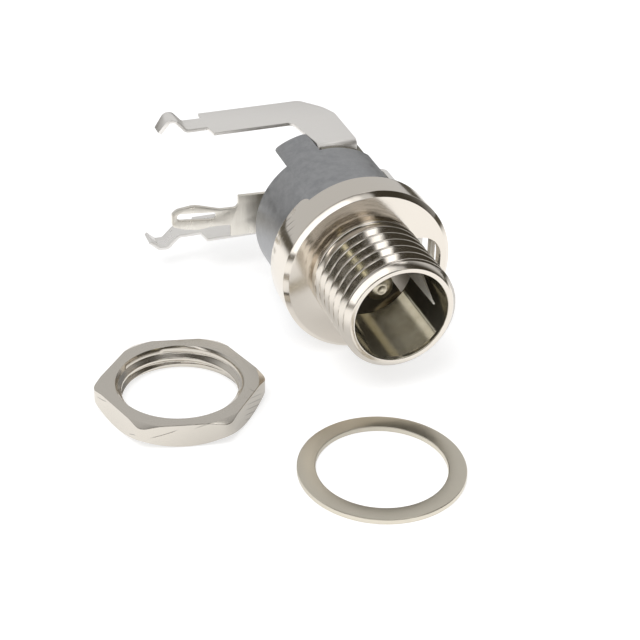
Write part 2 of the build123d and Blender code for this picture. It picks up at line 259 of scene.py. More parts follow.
def newGroup(name, kind, inputs, outputs):
    tree = bpy.data.node_groups.new(name, kind)
    for label, socketType, start in inputs:
        socket = tree.interface.new_socket(label, in_out="INPUT", socket_type=socketType)
        if start is not None:
            socket.default_value = start
    for label, socketType in outputs:
        tree.interface.new_socket(label, in_out="OUTPUT", socket_type=socketType)
    bench = Bench(tree)
    return tree, bench, bench.add("NodeGroupInput").outputs, bench.add("NodeGroupOutput").inputs


number, colour, vector = "NodeSocketFloat", "NodeSocketColor", "NodeSocketVector"


# The thread, cut by one tree for the barrel and the nut

def makeThreadTree():
    tree, b, given, out = newGroup(
        "cutThread", "GeometryNodeTree",
        [
            ("Geometry", "NodeSocketGeometry", None),
            ("Centre", vector, (0, 0, 0)),
            ("Axis", vector, (0, 0, 1)),
            ("Side", vector, (1, 0, 0)),
            ("Surface Radius", number, 4 * mm),
            ("Outside", number, 1.0),
            ("Pitch", number, 0.75 * mm),
            ("Depth", number, 0.4 * mm),
            ("Start", number, 0.0),
            ("End", number, 1 * mm),
            ("Start Fade", number, 0.3 * mm),
            ("End Fade", number, 0.3 * mm),
            ("Crest", number, 0.15),
            ("Root", number, 0.1),
            ("Material", "NodeSocketMaterial", None),
        ],
        [("Geometry", "NodeSocketGeometry")],
    )
    rel = b.vector("SUBTRACT", b.add("GeometryNodeInputPosition").outputs[0], given["Centre"])
    height = b.vector("DOT_PRODUCT", rel, given["Axis"])
    along = b.vector("SCALE", given["Axis"], scale=height)
    across = b.vector("SUBTRACT", rel, along)
    radius = b.vector("LENGTH", across)
    outward = b.vector("NORMALIZE", across)
    otherSide = b.vector("CROSS_PRODUCT", given["Axis"], given["Side"])
    sideways = b.vector("DOT_PRODUCT", outward, otherSide)
    ahead = b.vector("DOT_PRODUCT", outward, given["Side"])
    angle = b.math("ARCTAN2", sideways, ahead)
    turns = b.math("SUBTRACT", b.math("DIVIDE", height, given["Pitch"]), b.math("DIVIDE", angle, 2 * math.pi))
    saw = b.math("FRACT", turns)
    ridge = b.math("ABSOLUTE", b.math("SUBTRACT", b.math("MULTIPLY", saw, 2.0), 1.0))
    crestEdge = b.math("SUBTRACT", 1.0, given["Crest"])
    groove = b.remap(ridge, given["Root"], crestEdge, 1.0, 0.0)
    whole = b.math("ADD", given["Start"], given["Start Fade"])
    fading = b.math("SUBTRACT", given["End"], given["End Fade"])
    fadeIn = b.remap(height, given["Start"], whole, 0.0, 1.0, smooth=True)
    fadeOut = b.remap(height, fading, given["End"], 1.0, 0.0, smooth=True)
    deep = b.math("MULTIPLY", b.math("MULTIPLY", groove, given["Depth"]), b.math("MULTIPLY", fadeIn, fadeOut))
    limit = b.math("SUBTRACT", b.math("MULTIPLY", given["Surface Radius"], given["Outside"]), deep)
    signed = b.math("MINIMUM", b.math("MULTIPLY", radius, given["Outside"]), limit)
    newRadius = b.math("MULTIPLY", signed, given["Outside"])
    newPlace = b.vector("ADD", along, b.vector("SCALE", outward, scale=newRadius))
    moved = b.vector("ADD", newPlace, given["Centre"])
    setPosition = b.add("GeometryNodeSetPosition")
    b.give(setPosition.inputs["Geometry"], given["Geometry"])
    b.give(setPosition.inputs["Position"], moved)
    realize = b.add("GeometryNodeRealizeInstances")
    b.give(realize.inputs[0], setPosition.outputs[0])
    paint = b.add("GeometryNodeSetMaterial")
    b.give(paint.inputs["Geometry"], realize.outputs[0])
    b.give(paint.inputs["Material"], given["Material"])
    b.give(out["Geometry"], paint.outputs[0])
    return tree


threadTree = makeThreadTree()


def cutThread(piece, settings):
    step = piece.modifiers.new("thread", "NODES")
    step.node_group = threadTree
    for item in threadTree.interface.items_tree:
        if item.item_type == "SOCKET" and item.in_out == "INPUT" and item.name in settings:
            step[item.identifier] = settings[item.name]
    keepResult(piece)
    for face in piece.data.polygons:
        face.use_smooth = True


# Finishes

def makeGrainGroup():
    # cloudy wear with a finer grain on top
    tree, b, given, out = newGroup(
        "fineGrain", "ShaderNodeTree",
        [("Coordinates", vector, None), ("Cloud Scale", number, 400.0), ("Grain Scale", number, 6000.0),
         ("Low", number, 0.1), ("High", number, 0.2)],
        [("Value", number), ("Height", number)],
    )
    cloud = b.noise(given["Coordinates"], given["Cloud Scale"], 4.0, 0.55)
    grain = b.noise(given["Coordinates"], given["Grain Scale"], 2.0, 0.6)
    both = b.math("ADD", b.math("MULTIPLY", cloud, 0.7), b.math("MULTIPLY", grain, 0.3))
    b.give(out["Value"], b.remap(both, 0.3, 0.7, given["Low"], given["High"]))
    b.give(out["Height"], grain)
    return tree


def makeTurnedLinesGroup():
    # fine rings left by turning, told apart by a distance along or out from an axis
    tree, b, given, out = newGroup(
        "turnedLines", "ShaderNodeTree",
        [("Distance", number, 0.0), ("Spacing", number, 0.03 * mm), ("Amount", number, 1.0)],
        [("Height", number)],
    )
    steps = b.math("DIVIDE", given["Distance"], given["Spacing"])
    joined = b.add("ShaderNodeCombineXYZ")
    b.give(joined.inputs[0], steps)
    lines = b.noise(joined.outputs[0], 1.0, 3.0, 0.6)
    b.give(out["Height"], b.math("MULTIPLY", lines, given["Amount"]))
    return tree


def makeRolledLinesGroup():
    # straight fine lines in sheet metal
    tree, b, given, out = newGroup(
        "rolledLines", "ShaderNodeTree",
        [("Coordinates", vector, None), ("Stretch", vector, (1, 1, 1)), ("Scale", number, 2500.0),
         ("Low", number, 0.2), ("High", number, 0.3)],
        [("Value", number), ("Height", number)],
    )
    stretched = b.vector("MULTIPLY", given["Coordinates"], given["Stretch"])
    lines = b.noise(stretched, given["Scale"], 3.0, 0.6)
    cloud = b.noise(given["Coordinates"], 350.0, 3.0, 0.5)
    both = b.math("ADD", b.math("MULTIPLY", lines, 0.6), b.math("MULTIPLY", cloud, 0.4))
    b.give(out["Value"], b.remap(both, 0.35, 0.65, given["Low"], given["High"]))
    b.give(out["Height"], lines)
    return tree


def makeScratchGroup():
    # a few thin strokes in one direction, inside a soft ball round one place
    tree, b, given, out = newGroup(
        "scratches", "ShaderNodeTree",
        [("Coordinates", vector, None), ("Place", vector, (0, 0, 0)), ("Reach", number, 1 * mm),
         ("Across", vector, (0, 0, 1)), ("Spacing", number, 0.12 * mm), ("Width", number, 0.2)],
        [("Mask", number)],
    )
    rel = b.vector("SUBTRACT", given["Coordinates"], given["Place"])
    fading = b.math("MULTIPLY", given["Reach"], 0.55)
    near = b.remap(b.vector("LENGTH", rel), fading, given["Reach"], 1.0, 0.0, smooth=True)
    wander = b.math("MULTIPLY", b.noise(given["Coordinates"], 260.0, 1.0), 0.5)
    steps = b.math("DIVIDE", b.vector("DOT_PRODUCT", rel, given["Across"]), given["Spacing"])
    stroke = b.math("ADD", steps, wander)
    wave = b.math("ABSOLUTE", b.math("SUBTRACT", b.math("MULTIPLY", b.math("FRACT", stroke), 2.0), 1.0))
    line = b.remap(wave, 0.0, given["Width"], 1.0, 0.0, smooth=True)
    b.give(out["Mask"], b.math("MULTIPLY", line, near))
    return tree


def makeMottleGroup():
    # blotches of two tones at two sizes
    tree, b, given, out = newGroup(
        "mottledSkin", "ShaderNodeTree",
        [("Coordinates", vector, None), ("Light", colour, (1, 1, 1, 1)), ("Dark", colour, (0.2, 0.2, 0.2, 1)),
         ("Blotch Scale", number, 700.0)],
        [("Colour", colour), ("Height", number), ("Tone", number)],
    )
    blotch = b.noise(given["Coordinates"], given["Blotch Scale"], 5.0, 0.62)
    fine = b.noise(given["Coordinates"], b.math("MULTIPLY", given["Blotch Scale"], 5.0), 3.0, 0.6)
    both = b.math("ADD", b.math("MULTIPLY", blotch, 0.72), b.math("MULTIPLY", fine, 0.28))
    tone = b.remap(both, 0.36, 0.64, 0.0, 1.0, smooth=True)
    b.give(out["Colour"], b.mix(tone, given["Dark"], given["Light"]))
    b.give(out["Height"], both)
    b.give(out["Tone"], tone)
    return tree


fineGrain = makeGrainGroup()
turnedLines = makeTurnedLinesGroup()
rolledLines = makeRolledLinesGroup()
scratches = makeScratchGroup()
mottledSkin = makeMottleGroup()


def newMaterial(name):
    material = bpy.data.materials.new(name)
    material.use_nodes = True
    material.node_tree.nodes.clear()
    b = Bench(material.node_tree)
    shader = b.add("ShaderNodeBsdfPrincipled")
    output = b.add("ShaderNodeOutputMaterial")
    material.node_tree.links.new(shader.outputs[0], output.inputs[0])
    place = b.add("ShaderNodeTexCoord").outputs["Object"]
    return material, b, shader.inputs, place


def addBump(b, sockets, height, distance):
    bump = b.add("ShaderNodeBump")
    b.give(bump.inputs["Height"], height)
    bump.inputs["Distance"].default_value = distance
    bump.inputs["Strength"].default_value = 1.0
    b.give(sockets["Normal"], bump.outputs[0])


def axisDistances(b, place, centre=(0, 0, 0), upright=False):
    # height along the axis and distance out from it
    rel = b.vector("SUBTRACT", place, tuple(v * mm for v in centre))
    parts = b.add("ShaderNodeSeparateXYZ")
    b.give(parts.inputs[0], rel)
    x, y, z = parts.outputs
    a, c, height = (x, y, z) if upright else (x, z, y)
    return height, b.math("SQRT", b.math("ADD", b.math("MULTIPLY", a, a), b.math("MULTIPLY", c, c)))


def blotched(b, sockets, place, look):
    # two blotchy tones, in the colour and the roughness
    skin = b.group(mottledSkin, **{
        "Coordinates": place, "Light": look["light"] + (1,), "Dark": look["dark"] + (1,),
        "Blotch Scale": look["blotch"],
    })
    b.give(sockets["Base Color"], skin.outputs["Colour"])
    b.give(sockets["Roughness"], b.remap(skin.outputs["Tone"], 0.0, 1.0, look["rough"][0], look["rough"][1]))
    return skin


def brightPlating(name, look):
    # bright nickel over turned metal, with fine turning lines
    material, b, sockets, place = newMaterial(name)
    sockets["Metallic"].default_value = 1.0
    grain = b.group(fineGrain, **{
        "Coordinates": place, "Cloud Scale": look["cloud"], "Low": look["rough"][0], "High": look["rough"][1],
    })
    b.give(sockets["Roughness"], grain.outputs["Value"])
    height, radius = axisDistances(b, place, look.get("centre", (0, 0, 0)), look.get("upright", False))
    spacing = look["spacing"] * mm
    along = b.group(turnedLines, **{"Distance": height, "Spacing": spacing, "Amount": look["lines"]})
    outward = b.group(turnedLines, **{"Distance": radius, "Spacing": spacing, "Amount": look["lines"]})
    lines = b.math("ADD", along.outputs[0], outward.outputs[0])
    total = b.math("ADD", lines, b.math("MULTIPLY", grain.outputs["Height"], look["pits"]))
    paint = look["colour"] + (1,)
    scratched = tuple(v * 0.5 for v in look["colour"]) + (1,)
    for mark in look.get("marks", []):
        cut = b.group(scratches, **{
            "Coordinates": place, "Place": tuple(v * mm for v in mark["place"]), "Reach": mark["reach"] * mm,
            "Across": mark["across"], "Spacing": mark["spacing"] * mm, "Width": mark["width"],
        })
        total = b.math("SUBTRACT", total, b.math("MULTIPLY", cut.outputs[0], mark["deep"]))
        paint = b.mix(cut.outputs[0], paint, scratched)
    b.give(sockets["Base Color"], paint)
    addBump(b, sockets, total, look["bump"] * mm)
    return material


def satinCasting(name, look):
    # the duller, mottled skin of the rear shell
    material, b, sockets, place = newMaterial(name)
    sockets["Metallic"].default_value = 1.0
    skin = blotched(b, sockets, place, look)
    addBump(b, sockets, skin.outputs["Height"], look["bump"] * mm)
    return material


def shadedBorePlating(name, look):
    # the bore: a darker olive copy of the plating, painted shade of the recess, with finer rings between the
    # modelled ones
    material, b, sockets, place = newMaterial(name)
    sockets["Metallic"].default_value = look["metallic"]
    blotched(b, sockets, place, look)
    height = axisDistances(b, place)[0]
    rings = b.group(turnedLines, **{"Distance": height, "Spacing": look["spacing"] * mm, "Amount": 1.0})
    addBump(b, sockets, rings.outputs[0], look["bump"] * mm)
    return material


def sheetMetal(name, look):
    # plated sheet with rolling lines along one direction
    material, b, sockets, place = newMaterial(name)
    sockets["Metallic"].default_value = look["metallic"]
    sockets["Base Color"].default_value = look["colour"] + (1,)
    lines = b.group(rolledLines, **{
        "Coordinates": place, "Stretch": look["stretch"], "Scale": look["scale"],
        "Low": look["rough"][0], "High": look["rough"][1],
    })
    b.give(sockets["Roughness"], lines.outputs["Value"])
    addBump(b, sockets, lines.outputs["Height"], look["bump"] * mm)
    return material


def mouldedPlastic(name, look):
    # dark, finely matt moulding
    material, b, sockets, place = newMaterial(name)
    skin = blotched(b, sockets, place, look)
    addBump(b, sockets, skin.outputs["Height"], look["bump"] * mm)
    return material


castingMaterial = brightPlating("brightCasting", {
    "colour": (0.8, 0.745, 0.67), "cloud": 500.0, "rough": (0.07, 0.16), "spacing": 0.05, "lines": 0.5,
    "pits": 0.25, "bump": 0.0012,
    "marks": [{
        "place": (-5.3, 2.3, 2.9), "reach": 1.3, "across": (0.1, 0.9, 0.45), "spacing": 0.5, "width": 0.16,
        "deep": 5.0,
    }],
})
barrelMaterial = brightPlating("brightBarrel", {
    "colour": (0.79, 0.735, 0.66), "cloud": 600.0, "rough": (0.1, 0.22), "spacing": 0.04, "lines": 0.5,
    "pits": 0.25, "bump": 0.0012,
})
shellMaterial = satinCasting("shellSkin", {
    "light": (0.48, 0.485, 0.495), "dark": (0.36, 0.365, 0.378), "blotch": 1500.0, "rough": (0.34, 0.5),
    "bump": 0.012,
})
# darker olive tones than the outer plating: painted shade inside the bore
boreMaterial = shadedBorePlating("borePaintedShade", {
    "light": (0.47, 0.44, 0.36), "dark": (0.39, 0.36, 0.28), "blotch": 500.0, "rough": (0.1, 0.15),
    "bump": 0.002, "metallic": 0.9, "spacing": 0.07,
})
print("finishes ready")


# Socket casting: flange, collar with its gate pad, shell with its ear

casting = {
    "boreRadius": 3.252, "flangeRadius": 6.05, "flangeLength": 2.45, "frontEdge": 0.32, "rearEdge": 0.12,
    "stepLead": 0.15, "shellRadius": 5.35, "cavityRadius": 4.9, "rear": 8.5, "cavityFront": 3.2,
    "beyond": 8.0,  # how far out the cuts reach
    "gate": (126.0, 210.0), "gateRadius": 6.01, "gateEnd": 3.13, "gateCorner": 0.6,
    "ear": (97.0, 125.0), "earEnd": 11.3, "earCorner": 0.35,
    "flatX": 3.05, "slotX": (1.5, 5.3), "slotHalf": 2.07, "slotCorner": 1.7, "slotFace": 0.8,
}


def tabHeight(angle, span, radius, end, corner):
    # how far a tab reaches at an angle: its full height, less near its rounded ends, and none outside
    low, high = (math.radians(a) for a in span)
    if angle < low - 1e-6 or angle > high + 1e-6:
        return None
    inset = min(angle - low, high - angle) * radius
    if inset >= corner:
        return end
    drop = corner - math.sqrt(max(corner ** 2 - (corner - inset) ** 2, 0))
    return end - drop


def castingAngles():
    angles = set(round(a, 7) for a in evenAngles(288))
    for span, radius, corner in (
        (casting["gate"], casting["gateRadius"], casting["gateCorner"]),
        (casting["ear"], casting["shellRadius"], casting["earCorner"]),
    ):
        low, high = (math.radians(a) for a in span)
        for k in range(9):
            inset = corner * (1 - math.cos(math.pi / 2 * k / 8)) / radius
            angles |= {round(low + inset, 7), round(high - inset, 7)}
        angles |= {round(low - 0.0008, 7), round(high + 0.0008, 7)}
    return sorted(angles)


def castingOutline(angle):
    c = casting
    gate = tabHeight(angle, c["gate"], c["gateRadius"], c["gateEnd"], c["gateCorner"])
    ear = tabHeight(angle, c["ear"], c["shellRadius"], c["earEnd"], c["earCorner"])
    stepY = c["flangeLength"] if gate is None else max(gate, c["flangeLength"])
    stepRadius = c["flangeRadius"] if gate is None else c["gateRadius"]
    rear = c["rear"] if ear is None else max(ear, c["rear"])
    corners = [
        (c["boreRadius"], 0.0), (c["flangeRadius"] - c["frontEdge"], 0.0),
        (c["flangeRadius"], c["frontEdge"]), (c["flangeRadius"], c["flangeLength"] - c["stepLead"]),
        (stepRadius, stepY), (c["shellRadius"], stepY), (c["shellRadius"], rear),
        (c["cavityRadius"], rear), (c["cavityRadius"], c["cavityFront"]), (c["boreRadius"], c["cavityFront"]),
    ]
    radii = [0.0, 0.06, 0.06, 0.0, c["rearEdge"], 0.1, 0.07, 0.05, 0.0, 0.05]
    return roundedLoop(corners, radii, 5)


def slotCutter():
    c = casting
    x0, x1 = c["slotX"]
    h = c["slotHalf"]
    outline = roundedLoop(
        [(x0, -h), (x1, -h), (x1, h), (x0, h)], [0, c["slotCorner"], c["slotCorner"], 0], 8,
    )
    unique = outline[:1]
    for point in outline[1:]:
        if (Vector(point) - Vector(unique[-1])).length > 1e-5:
            unique.append(point)
    count = len(unique)
    vertices = [(x * mm, y * mm, z * mm) for y in (-0.5, c["slotFace"] + 0.01) for x, z in unique]
    faces = [tuple(range(count)), tuple(range(2 * count - 1, count - 1, -1))]
    faces += [(i, (i + 1) % count, count + (i + 1) % count, count + i) for i in range(count)]
    return newPiece("slotCutter", vertices, faces)


castingPiece = turned("socket_casting", castingOutline, castingAngles())
cutAway(
    castingPiece, (casting["flatX"], casting["flangeLength"], -casting["beyond"]),
    (casting["beyond"], casting["earEnd"] + 1.2, casting["beyond"]),
)
applyCut(castingPiece, slotCutter())
cutAway(
    castingPiece, (casting["slotX"][0], casting["slotFace"], -casting["slotHalf"]),
    (casting["beyond"], casting["cavityFront"], casting["slotHalf"]),
)
castingPiece.data.materials.clear()
castingPiece.data.materials.append(castingMaterial)
castingPiece.data.materials.append(shellMaterial)
for face in castingPiece.data.polygons:
    x, y, z = face.center / mm
    behindFlange = y > casting["flangeLength"] + 0.02
    withinGate = math.hypot(x, z) < casting["gateRadius"] - 0.16
    face.material_index = 1 if behindFlange and withinGate else 0
    face.use_smooth = True
castingPiece.data.set_sharp_from_angle(angle=math.radians(38))
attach(castingPiece, "root")
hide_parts("socket_body")
print("casting", len(castingPiece.data.polygons))


# Threaded barrel

barrel = {
    "radius": 4.0, "bore": 3.25, "front": -6.0, "lead": 0.4, "seat": 0.01, "pitch": 0.9, "depth": 0.56,
    "ringPitch": 0.1, "ringDepth": 0.052, "ringFlank": 0.03, "ringStart": -0.1, "ringMargin": 0.2,
    "ringAngles": (-125.0, -112.0, -37.0, -32.0),
}


def barrelOutline(angle):
    b = barrel
    corners = [
        (b["bore"], b["seat"]), (b["bore"], b["front"]), (b["radius"] - b["lead"], b["front"]),
        (b["radius"], b["front"] + b["lead"]), (b["radius"], b["seat"]),
    ]
    steps = 5
    loop = roundedLoop(corners, [0, 0.1, 0.12, 0.2, 0], steps)
    # fine rings on the bore's lower side, which draw its reflections out along the axis
    start, whole, fading, end = b["ringAngles"]
    degrees = math.degrees(angle) - 360
    share = min(max((degrees - start) / (whole - start), 0), max((end - degrees) / (end - fading), 0), 1)
    rings = [(b["bore"], b["ringStart"])]
    for k in range(1, int((b["ringStart"] - b["front"] - b["ringMargin"]) / b["ringPitch"])):
        y = b["ringStart"] - k * b["ringPitch"]
        rings += [(b["bore"] + b["ringDepth"] * share, y + b["ringPitch"] - b["ringFlank"]), (b["bore"], y)]
    loop = loop[:1] + rings + loop[steps + 1:]
    return withRows(loop, b["front"], b["seat"], b["pitch"] / 22, lambda r: r > b["radius"] - 0.02)


barrelPiece = turned("threaded_barrel", barrelOutline, evenAngles(288))
cutThread(barrelPiece, {
    "Axis": (0, -1, 0), "Side": (0, 0, 1), "Surface Radius": barrel["radius"] * mm, "Outside": 1.0,
    "Pitch": barrel["pitch"] * mm, "Depth": barrel["depth"] * mm, "Start": 0.1 * mm, "End": 5.7 * mm,
    "Start Fade": 0.35 * mm, "End Fade": 0.25 * mm, "Crest": 0.08, "Root": 0.05, "Material": barrelMaterial,
})
barrelPiece.data.materials.append(boreMaterial)
# the bore's faces get the darker copy of the plating, painted shade of the recess
for face in barrelPiece.data.polygons:
    if math.hypot(face.center.x, face.center.z) < (barrel["bore"] + 0.04) * mm:
        face.material_index = 1
        face.use_smooth = False
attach(barrelPiece, "root")
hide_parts("socket_body")
print("barrel", len(barrelPiece.data.polygons))


# Centre pin

pin = {
    "radius": 1.0, "tip": -2.5, "dome": 0.62, "collar": 1.3, "collarY": (3.2, 3.7),
    "rivet": 1.35, "rivetY": (10.9, 11.3),
}


def pinOutline(angle):
    p = pin
    collarFront, collarRear = p["collarY"]
    rivetFront, rivetRear = p["rivetY"]
    tip = [(0, p["tip"] + 0.09), (0.24, p["tip"] + 0.085), (0.31, p["tip"] + 0.04)]  # a small centre mark
    for k in range(3, 13):
        t = math.pi / 2 * k / 12
        tip.append((p["radius"] * math.sin(t), p["tip"] + p["dome"] * (1 - math.cos(t))))
    rest = roundedLoop(
        [
            (p["radius"], p["tip"] + p["dome"] + 0.2), (p["radius"], collarFront), (p["collar"], collarFront),
            (p["collar"], collarRear), (p["radius"], collarRear), (p["radius"], rivetFront),
            (p["rivet"], rivetFront), (p["rivet"] - 0.12, rivetFront + 0.24), (p["rivet"] - 0.45, rivetRear),
            (0, rivetRear),
        ],
        [0, 0, 0.05, 0.05, 0, 0, 0.03, 0.1, 0.15, 0], 3, closed=False,
    )
    return tip + rest


pinMaterial = brightPlating("turnedPin", {
    "colour": (0.74, 0.68, 0.54), "cloud": 700.0, "rough": (0.28, 0.36), "spacing": 0.05, "lines": 0.5,
    "pits": 0.1, "bump": 0.001,
})
pinPiece = turned("centre_pin_turned", pinOutline, evenAngles(96), closed=False)
pinPiece.data.materials.append(pinMaterial)
pinPiece.data.set_sharp_from_angle(angle=math.radians(40))
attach(pinPiece, "root")
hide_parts("centre_pin")
print("pin", len(pinPiece.data.polygons))


# Sheet metal and insulator, from the nodes' own shapes

sheetPieces = {
    "upper_leg": {
        "node": "switch_contact", "slot": "leg_metal", "bevel": 0.03,
        "look": {
            "colour": (0.93, 0.905, 0.87), "stretch": (0.12, 1.0, 1.0), "scale": 2200.0,
            "rough": (0.32, 0.44), "bump": 0.004, "metallic": 0.85,
        },
    },
    "sleeve_spring_and_lower_leg": {
        "node": "sleeve_contact", "slot": "spring_metal", "bevel": 0.03,
        "look": {
            "colour": (0.86, 0.84, 0.81), "stretch": (0.12, 1.0, 1.0), "scale": 2200.0,
            "rough": (0.26, 0.38), "bump": 0.003, "metallic": 0.7,
        },
    },
    "eye_terminal": {
        "node": "pin_terminal", "slot": "terminal_metal", "bevel": 0.04,
        "look": {
            "colour": (0.84, 0.805, 0.735), "stretch": (1.0, 1.0, 0.08), "scale": 2600.0,
            "rough": (0.24, 0.42), "bump": 0.02, "metallic": 0.95,
        },
    },
}
# at the kink and at the tip: y, then the upper and lower edge's z, and the same edges on the node's tongue
tongue = {
    "node": "sleeve_contact", "leftX": 2.0, "rearY": 3.6, "halfHeight": 1.2,
    "kink": (0.4, 1.45, -0.5), "tip": (-5.3, 0.22, 0.12), "plainKink": (0.9, -0.5), "plainTip": (0.55, -0.15),
    "middleX": (2.83, 2.53), "thinning": 0.75,
    # look: a paler, almost non-metallic copy of the spring metal, a painted highlight for the light the
    # tongue catches from the mouth
    "look": {
        "colour": (0.97, 0.93, 0.84), "stretch": (1.0, 0.1, 1.0), "scale": 2200.0,
        "rough": (0.3, 0.4), "bump": 0.004, "metallic": 0.1,
    },
}


def between(a, b, share):
    return a + (b - a) * share


def taperTongue(piece):
    # the sprung tongue widens to its kink and runs out to a point
    kinkY, kinkHigh, kinkLow = tongue["kink"]
    tipY, tipHigh, tipLow = tongue["tip"]
    for vertex in piece.data.vertices:
        x, y, z = vertex.co / mm
        if x < tongue["leftX"] or y > kinkY + 0.6 or abs(z) > tongue["halfHeight"]:
            continue
        t = min(max((kinkY - y) / (kinkY - tipY), 0.0), 1.0)
        oldHigh = between(tongue["plainKink"][0], tongue["plainTip"][0], t)
        oldLow = between(tongue["plainKink"][1], tongue["plainTip"][1], t)
        share = (z - oldLow) / (oldHigh - oldLow)
        vertex.co.z = between(between(kinkLow, tipLow, t), between(kinkHigh, tipHigh, t), share) * mm
        vertex.co.x += (between(*tongue["middleX"], t) - x) * tongue["thinning"] * t * mm


def paintTongueHighlight(piece):
    # the tongue's faces get the paler copy of the spring metal: painted highlight
    piece.data.materials.append(sheetMetal("tonguePaintedHighlight", tongue["look"]))
    for face in piece.data.polygons:
        x, y, z = face.center / mm
        face.material_index = 1 if x > tongue["leftX"] and y < tongue["rearY"] else 0


for name, entry in sheetPieces.items():
    piece = softenedCopy(entry["node"], name, entry["bevel"])
    piece.data.materials.append(sheetMetal(name + "Metal", entry["look"]))
    if entry["node"] == tongue["node"]:
        taperTongue(piece)
        paintTongueHighlight(piece)
    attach(piece, "root")
    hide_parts(entry["node"])
    print(name, len(piece.data.polygons))

insulatorPiece = softenedCopy("insulator", "moulded_insulator", 0.04)
insulatorPiece.data.materials.append(mouldedPlastic("insulatorSkin", {
    "light": (0.18, 0.168, 0.135), "dark": (0.12, 0.113, 0.09), "blotch": 1500.0, "rough": (0.5, 0.62),
    "bump": 0.006,
}))
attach(insulatorPiece, "root")
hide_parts("insulator")
print("insulator", len(insulatorPiece.data.polygons))


# Hex nut, lying flat

nut = {
    "flat": 5.0, "height": 1.75, "bore": 3.85, "boreChamfer": 0.4, "cornerCircle": 5.63,
    "topEdge": 5.2, "topSlope": 25.0, "footEdge": 4.9, "footSlope": 40.0,
    "centre": (-14.13, -2.6), "turn": 48.0, "base": -6.05, "pitch": 0.75, "threadDepth": 0.3,
}


def nutRadius(angle):
    # the hexagon, turned back at its corners to a circle
    sixth = math.pi / 3
    offset = (angle - math.radians(nut["turn"])) % sixth
    hexagon = nut["flat"] / math.cos(offset - sixth / 2)
    sharpness = 110
    return (hexagon ** -sharpness + nut["cornerCircle"] ** -sharpness) ** (-1 / sharpness)


def nutOutline(angle):
    n = nut
    outer = nutRadius(angle)
    low, high = n["base"], n["base"] + n["height"]
    topEdge = min(n["topEdge"], outer - 0.05)
    footEdge = min(n["footEdge"], outer - 0.05)
    drop = max((outer - n["topEdge"]) * math.tan(math.radians(n["topSlope"])), 0.03)
    rise = max((outer - n["footEdge"]) * math.tan(math.radians(n["footSlope"])), 0.03)
    mouth = n["bore"] + n["boreChamfer"]
    corners = [
        (mouth, low), (n["bore"], low + n["boreChamfer"]),
        (n["bore"], high - n["boreChamfer"]), (mouth, high),
        (topEdge, high), (outer, high - drop), (outer, low + rise), (footEdge, low),
    ]
    loop = roundedLoop(corners, [0.04] + [0.05] * 7, 4)
    return withRows(loop, low, high, 0.035, lambda r: r < n["bore"] + 0.02)


# scratches on the nut's sides: place, reach, the direction across them, spacing, width and depth
nutMarks = []
for place, reach, across, spacing, width, deep in (
    ((-16.4, -7.2, -5.2), 1.1, (-0.24, 0.05, 0.97), 1.7, 0.06, 6.0),
    ((-13.9, -7.75, -5.05), 0.9, (-0.2, 0.04, 0.98), 1.9, 0.05, 6.0),
    ((-19.4, -2.7, -5.0), 0.8, (0.1, 0.3, 0.95), 1.6, 0.08, 6.0),
    ((-18.2, -6.1, -5.5), 0.5, (0.2, 0.5, 0.84), 0.6, 0.16, 6.0),
    ((-9.8, -5.6, -5.5), 1.6, (0.35, 0.2, 0.9), 0.35, 0.2, 4.0),
):
    nutMarks.append({
        "place": place, "reach": reach, "across": across, "spacing": spacing, "width": width, "deep": deep,
    })

nutFoot = nut["centre"] + (nut["base"],)
nutMaterial = brightPlating("nutPlating", {
    "colour": (0.7, 0.657, 0.59), "cloud": 450.0, "rough": (0.18, 0.26), "spacing": 0.16, "lines": 1.0,
    "pits": 0.05, "bump": 0.0025, "marks": nutMarks, "centre": nutFoot, "upright": True,
})
nutPiece = turned("hex_nut_threaded", nutOutline, evenAngles(420), upright=True, centre=nut["centre"])
cutThread(nutPiece, {
    "Centre": tuple(v * mm for v in nutFoot), "Axis": (0, 0, 1), "Side": (1, 0, 0),
    "Surface Radius": nut["bore"] * mm, "Outside": -1.0,
    "Pitch": nut["pitch"] * mm, "Depth": nut["threadDepth"] * mm,
    "Start": 0.05 * mm, "End": (nut["height"] - 0.05) * mm, "Start Fade": 0.2 * mm, "End Fade": 0.2 * mm,
    "Crest": 0.2, "Root": 0.12, "Material": nutMaterial,
})
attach(nutPiece, "root")
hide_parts("hex_nut")
print("nut", len(nutPiece.data.polygons))


# Washer, lying flat

washer = {"outer": 5.35, "inner": 4.17, "thick": 0.37, "centre": (-4.14, -13.6), "base": -6.05}


def washerOutline(angle):
    w = washer
    low, high = w["base"], w["base"] + w["thick"]
    corners = [(w["inner"], low), (w["outer"], low), (w["outer"], high), (w["inner"], high)]
    return roundedLoop(corners, [0.05, 0.05, 0.07, 0.06], 5)


washerMaterial = brightPlating("washerPlating", {
    "colour": (0.74, 0.69, 0.585), "cloud": 420.0, "rough": (0.26, 0.38), "spacing": 0.08, "lines": 0.5,
    "pits": 0.3, "bump": 0.0025, "centre": washer["centre"] + (washer["base"],), "upright": True,
})
washerPiece = turned(
    "flat_washer_ring", washerOutline, evenAngles(320), upright=True, centre=washer["centre"],
)
washerPiece.data.materials.append(washerMaterial)
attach(washerPiece, "root")
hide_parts("flat_washer")
print("washer", len(washerPiece.data.polygons))


# Table, surroundings and light

table = {
    "half": 0.9, "top": -6.06, "middle": (-7.0, -7.0, 0.0), "glow": 0.62,
    # the first distances and shares paint shade into the table's reflections close to the socket
    "paintedShadeNearby": (5.0, 13.0), "paintedShadeShare": (0.3, 0.96), "distant": (35.0, 75.0),
    "nearTone": (0.5, 0.5, 0.5), "farTone": (0.1, 0.09, 0.07),
}


